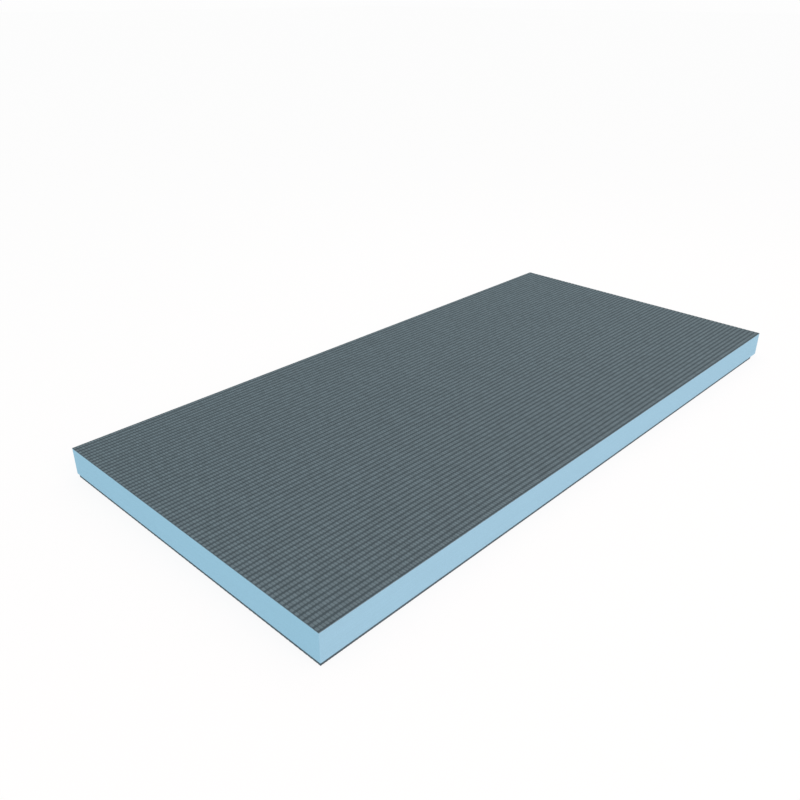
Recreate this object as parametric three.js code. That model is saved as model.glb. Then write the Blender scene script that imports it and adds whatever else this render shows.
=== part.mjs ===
// A foam tile backer board, lying flat: a rigid foam core between two thin mortar coatings.
// Tiles are stuck to the upper face coating and the back coating is bonded to the wall or floor.
//
// Millimetres, +Z up. X runs along the board's length and Y across its width.
// The origin is the middle of the underside, on the floor that the board lies on.
// The waffled imprint that the glass-fibre mesh leaves in the mortar is fine relief, and isn't cut here:
// the faces are flat at the height of its raised pads.

import * as THREE from 'three';

// Driving dimensions.
const BOARD_LENGTH = 1250;
const BOARD_WIDTH = 600;
const BOARD_THICKNESS = 51.5;
const FACE_COATING_THICKNESS = 1.5;
const BACK_COATING_THICKNESS = 3.5;

// The back coating is flush with the core at the -X end and along the -Y side.
// It stops this far short of the core's other two edges.
const BACK_END_SETBACK = 25;
const BACK_SIDE_SETBACK = 8;

// The outline of the core and of the face coating, which share all four edges.
const BOARD_OUTLINE = {
  left: -BOARD_LENGTH / 2,
  right: BOARD_LENGTH / 2,
  front: -BOARD_WIDTH / 2,
  back: BOARD_WIDTH / 2,
};

const BACK_OUTLINE = {
  ...BOARD_OUTLINE,
  right: BOARD_OUTLINE.right - BACK_END_SETBACK,
  back: BOARD_OUTLINE.back - BACK_SIDE_SETBACK,
};

// Heights of the faces at which the layers meet.
const CORE_BOTTOM = BACK_COATING_THICKNESS;
const CORE_TOP = BOARD_THICKNESS - FACE_COATING_THICKNESS;

const foam = new THREE.MeshStandardMaterial({ color: 0x9dc6dd, roughness: 0.85, metalness: 0 });
const mortar = new THREE.MeshStandardMaterial({ color: 0x5e6b71, roughness: 0.95, metalness: 0 });

/** One flat layer: a rectangular outline between two heights. */
function layer(name, outline, bottom, top, material) {
  const length = outline.right - outline.left;
  const width = outline.back - outline.front;
  const mesh = new THREE.Mesh(new THREE.BoxGeometry(length, width, top - bottom), material);
  mesh.name = name;
  mesh.position.set(
    (outline.left + outline.right) / 2,
    (outline.front + outline.back) / 2,
    (bottom + top) / 2,
  );
  return mesh;
}

const board = new THREE.Group();
board.add(
  layer('back_coating', BACK_OUTLINE, 0, CORE_BOTTOM, mortar),
  layer('foam_core', BOARD_OUTLINE, CORE_BOTTOM, CORE_TOP, foam),
  layer('face_coating', BOARD_OUTLINE, CORE_TOP, BOARD_THICKNESS, mortar),
);

export default board;
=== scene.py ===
"""A foam tile backer board lying on a pale studio floor.

The board is a slab of extruded polystyrene foam between two coatings of polymer mortar. A glass-fibre
mesh is buried in each coating, and its threads leave a waffle of long grooves, short cross grooves and
raised pads in the mortar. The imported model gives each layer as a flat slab. This script models the
waffle and the foam's eased edges at those slabs' places, gives every layer its finish, and lights it.

Metres, +Z up, with the origin at the middle of the board's underside.
"""

import logging
import math
from dataclasses import dataclass, field
from enum import Enum
from typing import Any

import bmesh
import bpy
from mathutils import Matrix, Vector, noise


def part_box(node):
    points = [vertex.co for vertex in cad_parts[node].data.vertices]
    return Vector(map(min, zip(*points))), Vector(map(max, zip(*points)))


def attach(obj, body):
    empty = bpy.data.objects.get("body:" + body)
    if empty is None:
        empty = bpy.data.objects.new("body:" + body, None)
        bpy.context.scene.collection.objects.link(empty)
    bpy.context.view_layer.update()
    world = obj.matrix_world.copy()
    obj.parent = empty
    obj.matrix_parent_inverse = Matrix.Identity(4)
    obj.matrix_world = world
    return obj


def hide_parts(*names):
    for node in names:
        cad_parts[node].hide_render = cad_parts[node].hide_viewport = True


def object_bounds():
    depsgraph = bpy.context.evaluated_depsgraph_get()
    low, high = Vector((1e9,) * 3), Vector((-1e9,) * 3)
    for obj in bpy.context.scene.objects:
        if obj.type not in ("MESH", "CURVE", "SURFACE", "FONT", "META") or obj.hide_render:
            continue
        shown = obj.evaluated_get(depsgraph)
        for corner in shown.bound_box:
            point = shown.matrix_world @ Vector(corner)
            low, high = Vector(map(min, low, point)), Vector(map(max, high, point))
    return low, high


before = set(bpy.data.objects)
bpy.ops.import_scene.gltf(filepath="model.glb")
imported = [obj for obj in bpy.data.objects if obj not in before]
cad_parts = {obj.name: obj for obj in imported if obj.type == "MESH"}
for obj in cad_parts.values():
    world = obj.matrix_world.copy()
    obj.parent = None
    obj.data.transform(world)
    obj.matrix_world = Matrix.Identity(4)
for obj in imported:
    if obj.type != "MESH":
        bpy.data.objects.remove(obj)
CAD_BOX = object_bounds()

MM = 0.001
BODY = "root"

# The Mix node's sockets for colours, by number, because its other types use the same names.
MIX_FACTOR = 0
MIX_FIRST = 6
MIX_SECOND = 7
MIX_RESULT = 2

# Places on the waffle are counted in openings of the mesh, so this is from a thread to a pad's middle.
HALF_OPENING = 0.5

# How far a face's normal points up or down, at most on an upright face and at least on a level one.
UPRIGHT_AT_MOST = 0.1
LEVEL_AT_LEAST = 0.5

LOG = logging.getLogger("backer_board")

Link = bpy.types.NodeSocket


def linear(hex_colour: str) -> tuple[float, float, float, float]:
    """Turns an sRGB hex colour into the linear one that shaders take.

    Args:
        hex_colour: Six hex digits, red first.

    Returns:
        Red, green, blue and an alpha of 1, from 0 to 1.
    """
    channels = [int(hex_colour[i : i + 2], 16) / 255 for i in (0, 2, 4)]
    # The sRGB curve is a straight line near black and a power above it.
    red, green, blue = (
        c / 12.92 if c <= 0.04045 else ((c + 0.055) / 1.055) ** 2.4 for c in channels
    )
    return red, green, blue, 1.0


def add_node(
    tree: bpy.types.NodeTree, kind: str, inputs: dict[str | int, Any] | None = None, **settings: Any
) -> bpy.types.Node:
    """Adds one node to a tree, with its settings, its values and its links.

    Args:
        tree: The node tree that gets the node.
        kind: The node's Blender type, such as ShaderNodeMath.
        inputs: For each input, by name or number, an output socket to link or a value to set.
        settings: The node's own properties, such as operation.

    Returns:
        The new node.
    """
    node = tree.nodes.new(kind)
    for name, value in settings.items():
        setattr(node, name, value)
    for name, value in (inputs or {}).items():
        if isinstance(value, Link):
            tree.links.new(value, node.inputs[name])
        else:
            node.inputs[name].default_value = value
    return node


def new_material(name: str) -> tuple[bpy.types.Material, bpy.types.NodeTree, bpy.types.Node]:
    """Makes a material with an empty tree but for its Principled shader and output.

    Args:
        name: The material's name.

    Returns:
        The material, its node tree and its Principled node.
    """
    material = bpy.data.materials.new(name)
    material.use_nodes = True
    tree = material.node_tree
    tree.nodes.clear()
    shader = add_node(tree, "ShaderNodeBsdfPrincipled")
    add_node(tree, "ShaderNodeOutputMaterial", {"Surface": shader.outputs["BSDF"]})
    return material, tree, shader


def vary_tone(
    tree: bpy.types.NodeTree, colour: Link | tuple[float, ...], signal: Link, spread: float
) -> Link:
    """Darkens and lightens a colour by a signal.

    Args:
        tree: The node tree.
        colour: The colour to change, as a link or as red, green and blue.
        signal: Runs from 0, the darkest, to 1, the lightest.
        spread: How far the tone goes each way, as a share of the colour.

    Returns:
        The changed colour.
    """
    factor = add_node(
        tree, "ShaderNodeMapRange", {"Value": signal, "To Min": 1 - spread, "To Max": 1 + spread}
    )
    scaled = add_node(
        tree,
        "ShaderNodeVectorMath",
        {0: colour, "Scale": factor.outputs["Result"]},
        operation="SCALE",
    )
    return scaled.outputs["Vector"]


def add_object(name: str, bm: bmesh.types.BMesh) -> bpy.types.Object:
    """Turns a bmesh into an object at the origin, and frees the bmesh.

    Args:
        name: The object's name.
        bm: The shape, already in its place.

    Returns:
        The new object, linked to the scene.
    """
    mesh = bpy.data.meshes.new(name)
    bm.to_mesh(mesh)
    bm.free()
    piece = bpy.data.objects.new(name, mesh)
    bpy.context.scene.collection.objects.link(piece)
    return piece


class Facing(Enum):
    """Which way a coating's waffled side looks."""

    UP = 1
    DOWN = -1


@dataclass(frozen=True)
class Slab:
    """The upright box that one layer of the board fills."""

    low: Vector
    high: Vector

    @classmethod
    def of_node(cls, node: str) -> "Slab":
        """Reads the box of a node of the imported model."""
        low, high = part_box(node)
        return cls(Vector(low), Vector(high))

    @property
    def size(self) -> Vector:
        """Length, width and height."""
        return self.high - self.low

    @property
    def middle(self) -> Vector:
        """The box's centre."""
        return (self.low + self.high) / 2

    def sides(self) -> list[tuple[Vector, Vector]]:
        """A point on each of the four upright sides, with that side's outward normal."""
        along, across = Vector((1, 0, 0)), Vector((0, 1, 0))
        return [(self.low, -along), (self.high, along), (self.low, -across), (self.high, across)]


@dataclass(frozen=True)
class MeshImprint:
    """The waffle that a glass-fibre mesh presses into mortar.

    The mesh's thick threads leave grooves along the board, and its thin ones leave cross grooves.
    Both have sloping sides that meet at the floor, with a flat-topped pad in each opening. The pitches
    and the first threads' places are measured in the photograph, and the depth is judged from its
    shading.
    """

    groove_pitch: float = 9.076 * MM
    cross_pitch: float = 4.985 * MM
    groove_slope: float = 2.3 * MM
    cross_slope: float = 0.6 * MM
    depth: float = 0.45 * MM
    # From the board's front left corner.
    first_groove: float = 1.15 * MM
    first_cross: float = 0.3 * MM
    # The threads stray from their straight lines, and the pads aren't all as high.
    wander: float = 0.12 * MM
    wander_length: float = 70 * MM
    # Without a seed, Blender takes its noise vectors from the clock, and each run gives another board.
    wander_seed: int = 7
    pad_unevenness: float = 0.06 * MM
    pad_unevenness_length: float = 12 * MM


@dataclass(frozen=True)
class MortarFinish:
    """Polymer-modified cement mortar, trowelled over glass-fibre mesh and dried.

    It is matt and blue-grey. The grooves are darker, partly from fines that settle in them and partly
    as painted shade in these recesses, and the cross grooves get more painted shade. The pads are
    paler, with a painted highlight on their rounded middles; they dry not quite alike, and the sand
    gives the whole a dry, gritty look.
    """

    name: str = "polymer_mortar_over_glass_mesh"
    pad_colour: str = "5a6c73"
    # The grooves' colour is partly settled fines and partly painted shade in the recesses.
    groove_colour: str = "3f4e54"
    edge_colour: str = "485860"
    # Only the cut edges are steeper than this, from 0 for a level surface to 1 for an upright one.
    edge_steepness: float = 0.5
    # The pale part of a pad is a rounded rectangle, given as shares of an opening of the mesh, and its
    # rounded shape is a painted highlight on the pad's top.
    pale_half_length: float = 0.465
    pale_half_width: float = 0.31
    # The pad is palest up to this share of that rectangle, and as dark as a groove past the limit, in
    # part painted shade.
    pale_core: float = 0.6
    pale_limit: float = 1.35
    # Where the cross grooves' painted shade starts, as a share of an opening from its middle, and how
    # dark it gets.
    crossing_start: float = 0.33
    crossing_shade: float = 0.9
    pad_spread: float = 0.09
    cloud_size: float = 140 * MM
    cloud_spread: float = 0.04
    # The sand is about 0.3 mm across, too fine to show here, so its specks are drawn at 1.2 mm.
    grit_size: float = 1.2 * MM
    grit_spread: float = 0.4
    grit_height: float = 0.14 * MM
    # The trowel rubs the pads smoother than the grooves.
    pad_roughness: float = 0.87
    groove_roughness: float = 0.97
    specular: float = 0.3

    def material(self, imprint: MeshImprint, corner: Vector) -> bpy.types.Material:
        """Builds the finish for one coating.

        Args:
            imprint: The waffle that the finish lies on.
            corner: The board's front left corner, from which the waffle is counted.

        Returns:
            The material.
        """
        material, tree, shader = new_material(self.name)
        coordinates = add_node(tree, "ShaderNodeTexCoord")
        place, normal = coordinates.outputs["Object"], coordinates.outputs["Normal"]
        in_openings = self.count_openings(tree, place, imprint, corner)
        paleness, off_middle = self.pad_shape(tree, in_openings)
        grit = add_node(
            tree,
            "ShaderNodeTexNoise",
            {"Vector": place, "Scale": 1 / self.grit_size, "Detail": 3.0, "Roughness": 0.65},
        ).outputs["Fac"]

        # The waffle's colour holds painted shade in the grooves and a painted highlight on the pads'
        # middles.
        colour = self.waffle_colour(tree, paleness)
        colour = self.colour_cut_edges(tree, colour, normal)
        # Painted shade in the cross grooves.
        colour = self.paint_cross_groove_shade(tree, colour, off_middle)
        colour = self.dry_unevenly(tree, colour, place, in_openings)
        colour = vary_tone(tree, colour, grit, self.grit_spread)
        bump = add_node(
            tree, "ShaderNodeBump", {"Height": grit, "Strength": 1.0, "Distance": self.grit_height}
        )
        roughness = add_node(
            tree,
            "ShaderNodeMapRange",
            {"Value": paleness, "To Min": self.groove_roughness, "To Max": self.pad_roughness},
        )
        tree.links.new(colour, shader.inputs["Base Color"])
        tree.links.new(bump.outputs["Normal"], shader.inputs["Normal"])
        tree.links.new(roughness.outputs["Result"], shader.inputs["Roughness"])
        shader.inputs["Specular IOR Level"].default_value = self.specular
        return material

    @staticmethod
    def count_openings(
        tree: bpy.types.NodeTree, place: Link, imprint: MeshImprint, corner: Vector
    ) -> Link:
        """Adds the nodes that count openings of the mesh, from the first crossing of its threads.

        Args:
            tree: The node tree.
            place: The place on the coating.
            imprint: The waffle that the finish lies on.
            corner: The board's front left corner.

        Returns:
            The place, counted in openings along and across the board.
        """
        first_crossing = corner + Vector((imprint.first_cross, imprint.first_groove, 0))
        from_first = add_node(
            tree, "ShaderNodeVectorMath", {0: place, 1: first_crossing}, operation="SUBTRACT"
        )
        per_opening = (1 / imprint.cross_pitch, 1 / imprint.groove_pitch, 0)
        in_openings = add_node(
            tree,
            "ShaderNodeVectorMath",
            {0: from_first.outputs[0], 1: per_opening},
            operation="MULTIPLY",
        )
        return in_openings.outputs[0]

    def pad_shape(self, tree: bpy.types.NodeTree, in_openings: Link) -> tuple[Link, Link]:
        """Adds the nodes that find the pads, for painted shade in the grooves and light on the pads.

        Args:
            tree: The node tree.
            in_openings: The place, counted in openings of the mesh.

        Returns:
            How pale the place is, from 0 in a groove to 1 on a pad, and how far it is from the
            opening's middle along the board, up to half an opening at a cross groove.
        """
        fraction = add_node(tree, "ShaderNodeVectorMath", {0: in_openings}, operation="FRACTION")
        centred = add_node(
            tree,
            "ShaderNodeVectorMath",
            {0: fraction.outputs[0], 1: (HALF_OPENING, HALF_OPENING, 0)},
            operation="SUBTRACT",
        )
        distance = add_node(
            tree, "ShaderNodeVectorMath", {0: centred.outputs[0]}, operation="ABSOLUTE"
        )
        in_halves = add_node(
            tree,
            "ShaderNodeVectorMath",
            {0: distance.outputs[0], 1: (self.pale_half_length, self.pale_half_width, 1)},
            operation="DIVIDE",
        )
        # The length of the squares is even along a rounded rectangle, where a plain length gives an oval.
        squared = add_node(
            tree,
            "ShaderNodeVectorMath",
            {0: in_halves.outputs[0], 1: in_halves.outputs[0]},
            operation="MULTIPLY",
        )
        reach = add_node(
            tree, "ShaderNodeVectorMath", {0: squared.outputs[0]}, operation="LENGTH"
        )
        paleness = add_node(
            tree,
            "ShaderNodeMapRange",
            {
                "Value": reach.outputs["Value"],
                "From Min": self.pale_limit,
                "From Max": self.pale_core,
            },
            interpolation_type="SMOOTHSTEP",
        )
        along = add_node(tree, "ShaderNodeSeparateXYZ", {0: distance.outputs[0]}).outputs["X"]
        return paleness.outputs["Result"], along

    def waffle_colour(self, tree: bpy.types.NodeTree, paleness: Link) -> Link:
        """Adds the node that colours the grooves and the pads, the grooves' darkness partly painted
        shade.

        Args:
            tree: The node tree.
            paleness: From 0 in a groove to 1 on a pad.

        Returns:
            The colour.
        """
        waffle = add_node(
            tree,
            "ShaderNodeMix",
            {
                MIX_FACTOR: paleness,
                MIX_FIRST: linear(self.groove_colour),
                MIX_SECOND: linear(self.pad_colour),
            },
            data_type="RGBA",
        )
        return waffle.outputs[MIX_RESULT]

    def colour_cut_edges(self, tree: bpy.types.NodeTree, colour: Link, normal: Link) -> Link:
        """Adds the nodes that give the coating's cut edges a colour of their own.

        Args:
            tree: The node tree.
            colour: The colour of the waffled side.
            normal: The surface's normal on the object's own axes.

        Returns:
            The colour of the whole coating.
        """
        rise = add_node(tree, "ShaderNodeSeparateXYZ", {0: normal}).outputs["Z"]
        level = add_node(tree, "ShaderNodeMath", {0: rise}, operation="ABSOLUTE")
        steep = add_node(tree, "ShaderNodeMath", {0: 1.0, 1: level.outputs[0]}, operation="SUBTRACT")
        is_edge = add_node(
            tree,
            "ShaderNodeMath",
            {0: steep.outputs[0], 1: self.edge_steepness},
            operation="GREATER_THAN",
        )
        edged = add_node(
            tree,
            "ShaderNodeMix",
            {
                MIX_FACTOR: is_edge.outputs[0],
                MIX_FIRST: colour,
                MIX_SECOND: linear(self.edge_colour),
            },
            data_type="RGBA",
        )
        return edged.outputs[MIX_RESULT]

    def paint_cross_groove_shade(self, tree: bpy.types.NodeTree, colour: Link, off_middle: Link) -> Link:
        """Adds the nodes that paint shade into the cross grooves.

        Args:
            tree: The node tree.
            colour: The colour to darken.
            off_middle: How far the place is from its opening's middle, along the board.

        Returns:
            The changed colour.
        """
        shade = add_node(
            tree,
            "ShaderNodeMapRange",
            {
                "Value": off_middle,
                "From Min": self.crossing_start,
                "From Max": HALF_OPENING,
                "To Min": 1.0,
                "To Max": self.crossing_shade,
            },
            interpolation_type="SMOOTHSTEP",
        )
        shaded = add_node(
            tree,
            "ShaderNodeVectorMath",
            {0: colour, "Scale": shade.outputs["Result"]},
            operation="SCALE",
        )
        return shaded.outputs[0]

    def dry_unevenly(
        self, tree: bpy.types.NodeTree, colour: Link, place: Link, in_openings: Link
    ) -> Link:
        """Adds the tones that drying leaves: one for each pad, and wide clouds over all of them.

        Args:
            tree: The node tree.
            colour: The colour to change.
            place: The place on the coating.
            in_openings: The place, counted in openings of the mesh.

        Returns:
            The changed colour.
        """
        opening = add_node(tree, "ShaderNodeVectorMath", {0: in_openings}, operation="FLOOR")
        pad_tone = add_node(tree, "ShaderNodeTexWhiteNoise", {"Vector": opening.outputs[0]})
        cloud = add_node(
            tree,
            "ShaderNodeTexNoise",
            {"Vector": place, "Scale": 1 / self.cloud_size, "Detail": 4.0, "Roughness": 0.6},
        )
        colour = vary_tone(tree, colour, pad_tone.outputs["Value"], self.pad_spread)
        return vary_tone(tree, colour, cloud.outputs["Fac"], self.cloud_spread)


@dataclass(frozen=True)
class FoamFinish:
    """Extruded polystyrene foam, pale blue, with planed edges.

    Its closed cells are cut open, which makes it matt and faintly mottled: a hollow in each cell, with
    painted shade in it, and a paler wall round it. The planing leaves fine streaks of slightly
    different shades along the edge.
    """

    name: str = "extruded_polystyrene_foam"
    colour: str = "91bdd3"
    streak_height: float = 1.6 * MM
    streak_length: float = 90 * MM
    streak_spread: float = 0.05
    # The cells are about 0.2 mm across, too fine to show here, so they are drawn at 0.9 mm.
    cell_size: float = 0.9 * MM
    # How far the colour goes each way, from painted shade in a cell's hollow to a paler wall.
    cell_shade_spread: float = 0.09
    cell_depth: float = 0.12 * MM
    # The thin walls between the cut cells are smoother than the cells' hollows.
    wall_roughness: float = 0.7
    hollow_roughness: float = 0.9
    specular: float = 0.3

    def material(self) -> bpy.types.Material:
        """Builds the finish.

        Returns:
            The material.
        """
        material, tree, shader = new_material(self.name)
        place = add_node(tree, "ShaderNodeTexCoord").outputs["Object"]
        streak = (self.streak_length, self.streak_length, self.streak_height)
        in_streaks = add_node(
            tree, "ShaderNodeVectorMath", {0: place, 1: streak}, operation="DIVIDE"
        )
        streaks = add_node(
            tree,
            "ShaderNodeTexNoise",
            {"Vector": in_streaks.outputs[0], "Scale": 1.0, "Detail": 4.0},
        )
        cells = add_node(
            tree, "ShaderNodeTexVoronoi", {"Vector": place, "Scale": 1 / self.cell_size}
        )
        # 0 in the middle of a cell's hollow, and more towards its walls.
        from_hollow = cells.outputs["Distance"]

        plain = linear(self.colour)[:3]
        colour = vary_tone(tree, plain, streaks.outputs["Fac"], self.streak_spread)
        # Painted shade darkens the cells' hollows, and their walls are paler.
        colour = vary_tone(tree, colour, from_hollow, self.cell_shade_spread)
        bump = add_node(
            tree,
            "ShaderNodeBump",
            {"Height": from_hollow, "Strength": 1.0, "Distance": self.cell_depth},
        )
        roughness = add_node(
            tree,
            "ShaderNodeMapRange",
            {
                "Value": from_hollow,
                "To Min": self.hollow_roughness,
                "To Max": self.wall_roughness,
            },
        )
        tree.links.new(colour, shader.inputs["Base Color"])
        tree.links.new(bump.outputs["Normal"], shader.inputs["Normal"])
        tree.links.new(roughness.outputs["Result"], shader.inputs["Roughness"])
        shader.inputs["Specular IOR Level"].default_value = self.specular
        return material


@dataclass
class Coating:
    """One mortar coating, with its waffle as real relief on the side that faces out."""

    node: str
    slot: str
    facing: Facing
    board: Slab
    imprint: MeshImprint
    finish: MortarFinish
    # Heights on the flat map, as shares of it. The waffled side has all that is above the strips.
    map_margin: float = 0.004
    map_edge_top: float = 0.012
    map_buried_top: float = 0.024

    def __post_init__(self) -> None:
        """Takes the coating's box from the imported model."""
        self.slab = Slab.of_node(self.node)
        up = self.facing is Facing.UP
        self.pad_z = self.slab.high.z if up else self.slab.low.z
        self.buried_z = self.slab.low.z if up else self.slab.high.z
        self.floor_z = self.pad_z - self.facing.value * self.imprint.depth

    def add(self) -> bpy.types.Object:
        """Returns:
            The finished piece.
        """
        bm = self.waffled_sheet()
        self.cut_to_outline(bm)
        self.close(bm)
        self.lay_flat_map(bm)
        piece = add_object(f"{self.node}_waffled", bm)
        corner = Vector((self.board.low.x, self.board.low.y, 0))
        piece.data.materials.append(self.finish.material(self.imprint, corner))
        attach(piece, BODY)
        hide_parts(self.node)
        return piece

    def waffled_sheet(self) -> bmesh.types.BMesh:
        """Makes the waffled surface, a little larger than the coating all round.

        A grid has one face for each opening of the mesh, and each face is inset and raised into a pad.
        While that is done the grid is stretched along the board, because an inset is as wide on all
        four sides and the cross grooves are narrower. The sheet starts one opening before the first
        crossing, which leaves the board's corner inside it.

        Returns:
            The sheet, in its place.
        """
        imprint = self.imprint
        size = self.board.size
        columns = math.ceil((size.x - imprint.first_cross) / imprint.cross_pitch) + 1
        rows = math.ceil((size.y - imprint.first_groove) / imprint.groove_pitch) + 1
        stretch = imprint.groove_slope / imprint.cross_slope
        length, width = columns * imprint.cross_pitch, rows * imprint.groove_pitch

        bm = bmesh.new()
        # The operator's size is half of the grid's width, which is 1 here.
        bmesh.ops.create_grid(bm, x_segments=columns, y_segments=rows, size=0.5)
        if self.facing is Facing.DOWN:
            bmesh.ops.rotate(bm, matrix=Matrix.Rotation(math.pi, 3, "X"), verts=bm.verts)
        bmesh.ops.scale(bm, vec=(length * stretch, width, 1), verts=bm.verts)
        bmesh.ops.inset_individual(
            bm,
            faces=bm.faces[:],
            thickness=imprint.groove_slope,
            depth=imprint.depth,
            use_even_offset=True,
        )
        bmesh.ops.scale(bm, vec=(1 / stretch, 1, 1), verts=bm.verts)
        first_x = self.board.low.x + imprint.first_cross - imprint.cross_pitch
        first_y = self.board.low.y + imprint.first_groove - imprint.groove_pitch
        to_place = Vector((first_x + length / 2, first_y + width / 2, self.floor_z))
        bmesh.ops.translate(bm, vec=to_place, verts=bm.verts)
        self.loosen(bm)
        return bm

    def loosen(self, bm: bmesh.types.BMesh) -> None:
        """Lets the threads wander and the pads sink a little, as in hand-laid mesh.

        Args:
            bm: The sheet, changed in place.
        """
        imprint = self.imprint
        halfway = (self.floor_z + self.pad_z) / 2
        noise.seed_set(imprint.wander_seed)
        for vertex in bm.verts:
            drift = noise.noise_vector(vertex.co / imprint.wander_length)
            is_pad = (vertex.co.z - halfway) * self.facing.value > 0
            sag = abs(noise.noise(vertex.co / imprint.pad_unevenness_length)) if is_pad else 0.0
            vertex.co.x += drift.x * imprint.wander
            vertex.co.y += drift.y * imprint.wander
            vertex.co.z -= self.facing.value * sag * imprint.pad_unevenness

    def cut_to_outline(self, bm: bmesh.types.BMesh) -> None:
        """Trims the sheet to the coating's four edges.

        Args:
            bm: The sheet, changed in place.
        """
        for point, outward in self.slab.sides():
            geometry = bm.verts[:] + bm.edges[:] + bm.faces[:]
            bmesh.ops.bisect_plane(
                bm, geom=geometry, plane_co=point, plane_no=outward, clear_outer=True
            )
        # Smooth shading stops short of the rim, so that it doesn't roll over the cut edges.
        for face in bm.faces:
            face.smooth = not any(vertex.is_boundary for vertex in face.verts)

    def close(self, bm: bmesh.types.BMesh) -> None:
        """Adds the cut edges and the flat side that sticks to the foam, which stay sharp.

        Args:
            bm: The trimmed sheet, made a closed solid.
        """
        rim = [edge for edge in bm.edges if edge.is_boundary]
        walls = bmesh.ops.extrude_edge_only(bm, edges=rim)["geom"]
        buried_rim = [item for item in walls if isinstance(item, bmesh.types.BMVert)]
        # A scale of 0 about the foam's face lays the new rim flat on it.
        bmesh.ops.scale(
            bm,
            vec=(1, 1, 0),
            space=Matrix.Translation((0, 0, -self.buried_z)),
            verts=buried_rim,
        )
        open_edges = [edge for edge in bm.edges if edge.is_boundary]
        bmesh.ops.triangle_fill(bm, use_beauty=True, edges=open_edges)
        bmesh.ops.recalc_face_normals(bm, faces=bm.faces)
        for face in bm.faces:
            if self.is_cut_edge(face) or self.is_buried(face):
                face.smooth = False

    @staticmethod
    def is_cut_edge(face: bmesh.types.BMFace) -> bool:
        """True for the upright faces at the coating's four edges."""
        return abs(face.normal.z) < UPRIGHT_AT_MOST

    def is_buried(self, face: bmesh.types.BMFace) -> bool:
        """True for the flat side that sticks to the foam."""
        return face.normal.z * self.facing.value < -LEVEL_AT_LEAST

    def lay_flat_map(self, bm: bmesh.types.BMesh) -> None:
        """Gives the coating a flat map, so that a baked picture keeps the waffle sharp.

        The waffled side takes nearly all of it, over a low strip for the cut edges and one for the
        buried side.

        Args:
            bm: The closed solid.
        """
        layer = bm.loops.layers.uv.new("OFBake")
        margin = self.map_margin
        for face in bm.faces:
            if self.is_cut_edge(face):
                bottom, top = margin, self.map_edge_top - margin / 2
            elif self.is_buried(face):
                bottom, top = self.map_edge_top, self.map_buried_top - margin / 2
            else:
                bottom, top = self.map_buried_top, 1 - margin
            for loop in face.loops:
                along, up = self.map_shares(face, loop.vert.co)
                loop[layer].uv = (margin + along * (1 - 2 * margin), bottom + up * (top - bottom))

    def map_shares(self, face: bmesh.types.BMFace, point: Vector) -> tuple[float, float]:
        """Finds where a corner of a face lies in the face's strip of the flat map.

        Args:
            face: The face.
            point: The corner's place.

        Returns:
            How far along and how far up the strip it lies, as shares of the strip.
        """
        low, size = self.slab.low, self.slab.size
        along, across, up = ((point[i] - low[i]) / size[i] for i in range(3))
        if not self.is_cut_edge(face):
            return along, across
        # Each of the four cut edges has a quarter of their strip.
        runs_along = abs(face.normal.y) > abs(face.normal.x)
        is_far = face.normal.x + face.normal.y > 0
        quarter = is_far + 2 * runs_along
        return (quarter + (along if runs_along else across)) / 4, up


@dataclass
class FoamCore:
    """The foam slab, with the slight easing that planing leaves on its edges."""

    node: str = "foam_core"
    slot: str = "foam"
    corner_ease: float = 0.8 * MM
    corner_steps: int = 4
    rim_ease: float = 0.25 * MM
    rim_steps: int = 2
    finish: FoamFinish = FoamFinish()

    def add(self) -> bpy.types.Object:
        """Returns:
            The finished piece.
        """
        slab = Slab.of_node(self.node)
        bm = bmesh.new()
        bmesh.ops.create_cube(bm, size=1)
        bmesh.ops.scale(bm, vec=slab.size, verts=bm.verts)
        bmesh.ops.translate(bm, vec=slab.middle, verts=bm.verts)
        corners = [edge for edge in bm.edges if self.rises(edge)]
        self.ease(bm, corners, self.corner_ease, self.corner_steps)
        rims = [edge for edge in bm.edges if not self.rises(edge)]
        self.ease(bm, rims, self.rim_ease, self.rim_steps)
        piece = add_object(f"{self.node}_planed", bm)
        piece.data.materials.append(self.finish.material())
        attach(piece, BODY)
        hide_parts(self.node)
        return piece

    @staticmethod
    def rises(edge: bmesh.types.BMEdge) -> bool:
        """True for an upright edge."""
        start, end = (vertex.co for vertex in edge.verts)
        return abs(start.z - end.z) > edge.calc_length() / 2

    @staticmethod
    def ease(
        bm: bmesh.types.BMesh, edges: list[bmesh.types.BMEdge], width: float, steps: int
    ) -> None:
        """Rounds some edges a little.

        Args:
            bm: The slab, changed in place.
            edges: The edges to round.
            width: How far the rounding reaches from the edge.
            steps: How many flat steps it has.
        """
        bmesh.ops.bevel(
            bm,
            geom=edges,
            affect="EDGES",
            offset=width,
            segments=steps,
            profile=0.5,
            material=-1,
        )


@dataclass(frozen=True)
class Softbox:
    """A square studio lamp that points at the board's middle."""

    name: str
    place: tuple[float, float, float]
    width: float
    watts: float
    colour: str

    def add(self) -> None:
        """Adds the lamp, which no camera sees."""
        light = bpy.data.lights.new(self.name, "AREA")
        light.size = self.width
        light.energy = self.watts
        light.color = linear(self.colour)[:3]
        lamp = bpy.data.objects.new(self.name, light)
        lamp.location = self.place
        lamp.rotation_euler = (-Vector(self.place)).to_track_quat("-Z", "Y").to_euler()
        lamp.visible_camera = False
        bpy.context.scene.collection.objects.link(lamp)


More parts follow.
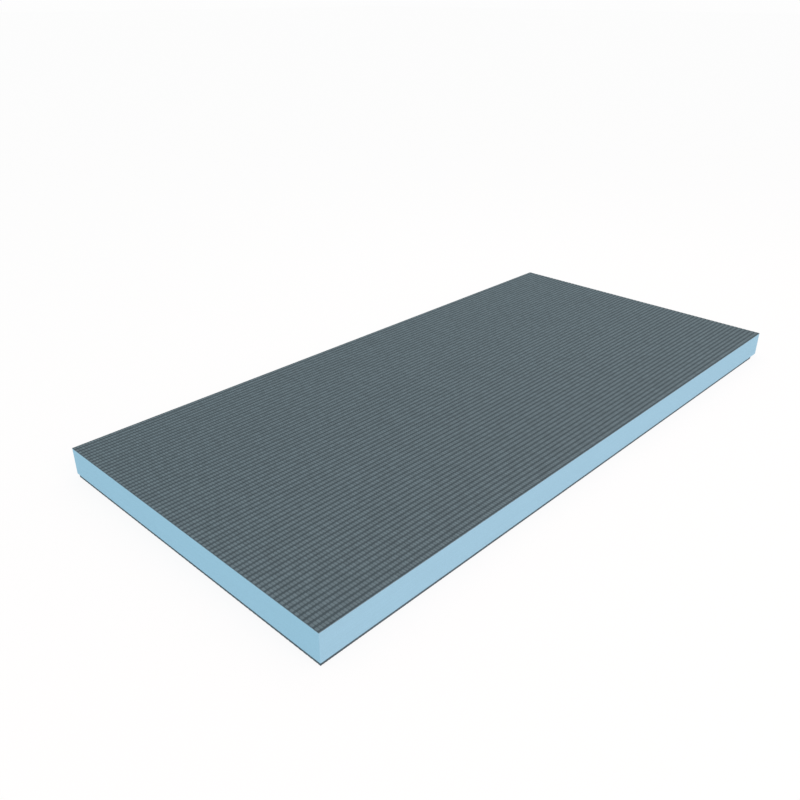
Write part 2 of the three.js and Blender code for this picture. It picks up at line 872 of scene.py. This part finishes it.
@dataclass
class Studio:
    """A pale floor under a white sky, three soft lamps, and the photograph's viewpoint."""

    floor_size: float = 60.0
    floor_colour: str = "616161"
    floor_glow: float = 0.86
    sky_strength: float = 0.985
    softboxes: tuple[Softbox, ...] = (
        Softbox("front_key", place=(-0.3, -2.15, 1.8), width=1.6, watts=25.0, colour="ffbeb1"),
        Softbox("left_fill", place=(-2.6, 0.0, 0.6), width=1.2, watts=2.0, colour="a0f2ff"),
        Softbox("overhead_lamp", place=(0.9, 0.35, 1.3), width=0.8, watts=2.0, colour="ffffff"),
    )
    # Solved from the board's outline in the photograph, with its real size.
    camera_place: Vector = field(default_factory=lambda: Vector((-1.0641, -0.8485, 0.7068)))
    camera_target: Vector = field(default_factory=lambda: Vector((-0.1021, 0.0721, 0.026)))
    camera_roll: float = math.radians(0.083)
    lens_mm: float = 36.12
    sensor_mm: float = 36.0

    def add(self) -> None:
        """Adds the floor, the lights and the camera."""
        self.add_floor()
        self.add_sky()
        for softbox in self.softboxes:
            softbox.add()
        self.add_camera()
        bpy.context.scene.view_settings.view_transform = "Standard"

    def add_floor(self) -> None:
        """Lays a large floor, grey but for a glow that turns it white and keeps its shadows faint."""
        bm = bmesh.new()
        bmesh.ops.create_grid(bm, x_segments=1, y_segments=1, size=self.floor_size / 2)
        floor = add_object("studio_floor", bm)
        material, _, shader = new_material("matt_white_floor")
        shader.inputs["Base Color"].default_value = linear(self.floor_colour)
        shader.inputs["Roughness"].default_value = 1.0
        shader.inputs["Specular IOR Level"].default_value = 0.0
        shader.inputs["Emission Color"].default_value = linear("ffffff")
        shader.inputs["Emission Strength"].default_value = self.floor_glow
        floor.data.materials.append(material)

    def add_sky(self) -> None:
        """Adds an even white sky."""
        world = bpy.data.worlds.new("studio_sky")
        world.use_nodes = True
        background = world.node_tree.nodes["Background"]
        background.inputs["Color"].default_value = linear("ffffff")
        background.inputs["Strength"].default_value = self.sky_strength
        bpy.context.scene.world = world

    def add_camera(self) -> None:
        """Puts the camera where the photograph was taken from."""
        camera = bpy.data.cameras.new("photo_camera")
        camera.lens = self.lens_mm
        camera.sensor_width = self.sensor_mm
        viewer = bpy.data.objects.new("photo_camera", camera)
        look = self.camera_target - self.camera_place
        level = look.to_track_quat("-Z", "Y").to_matrix().to_4x4()
        roll = Matrix.Rotation(self.camera_roll, 4, "Z")
        viewer.matrix_world = Matrix.Translation(self.camera_place) @ level @ roll
        bpy.context.scene.collection.objects.link(viewer)
        bpy.context.scene.camera = viewer


def main() -> None:
    """Builds the board's layers from the bottom up, then the studio around them."""
    logging.basicConfig(level=logging.INFO, format="%(message)s")
    board = Slab(Vector(CAD_BOX[0]), Vector(CAD_BOX[1]))
    face_imprint = MeshImprint()
    # The back's mesh isn't in line with the face's, and its pads reach the two near edges.
    back_imprint = MeshImprint(first_groove=5.4 * MM, first_cross=2.7 * MM)
    # The photograph shows the face's cut edge paler than the back's.
    face_finish = MortarFinish(edge_colour="6c8089")
    back_finish = MortarFinish()
    layers = (
        Coating("back_coating", "back_mortar", Facing.DOWN, board, back_imprint, back_finish),
        FoamCore(),
        Coating("face_coating", "face_mortar", Facing.UP, board, face_imprint, face_finish),
    )
    for layer in layers:
        piece = layer.add()
        LOG.info("%s: %d faces", piece.name, len(piece.data.polygons))
    Studio().add()
    LOG.info("studio: floor, light and camera")


if __name__ == "__main__":
    main()
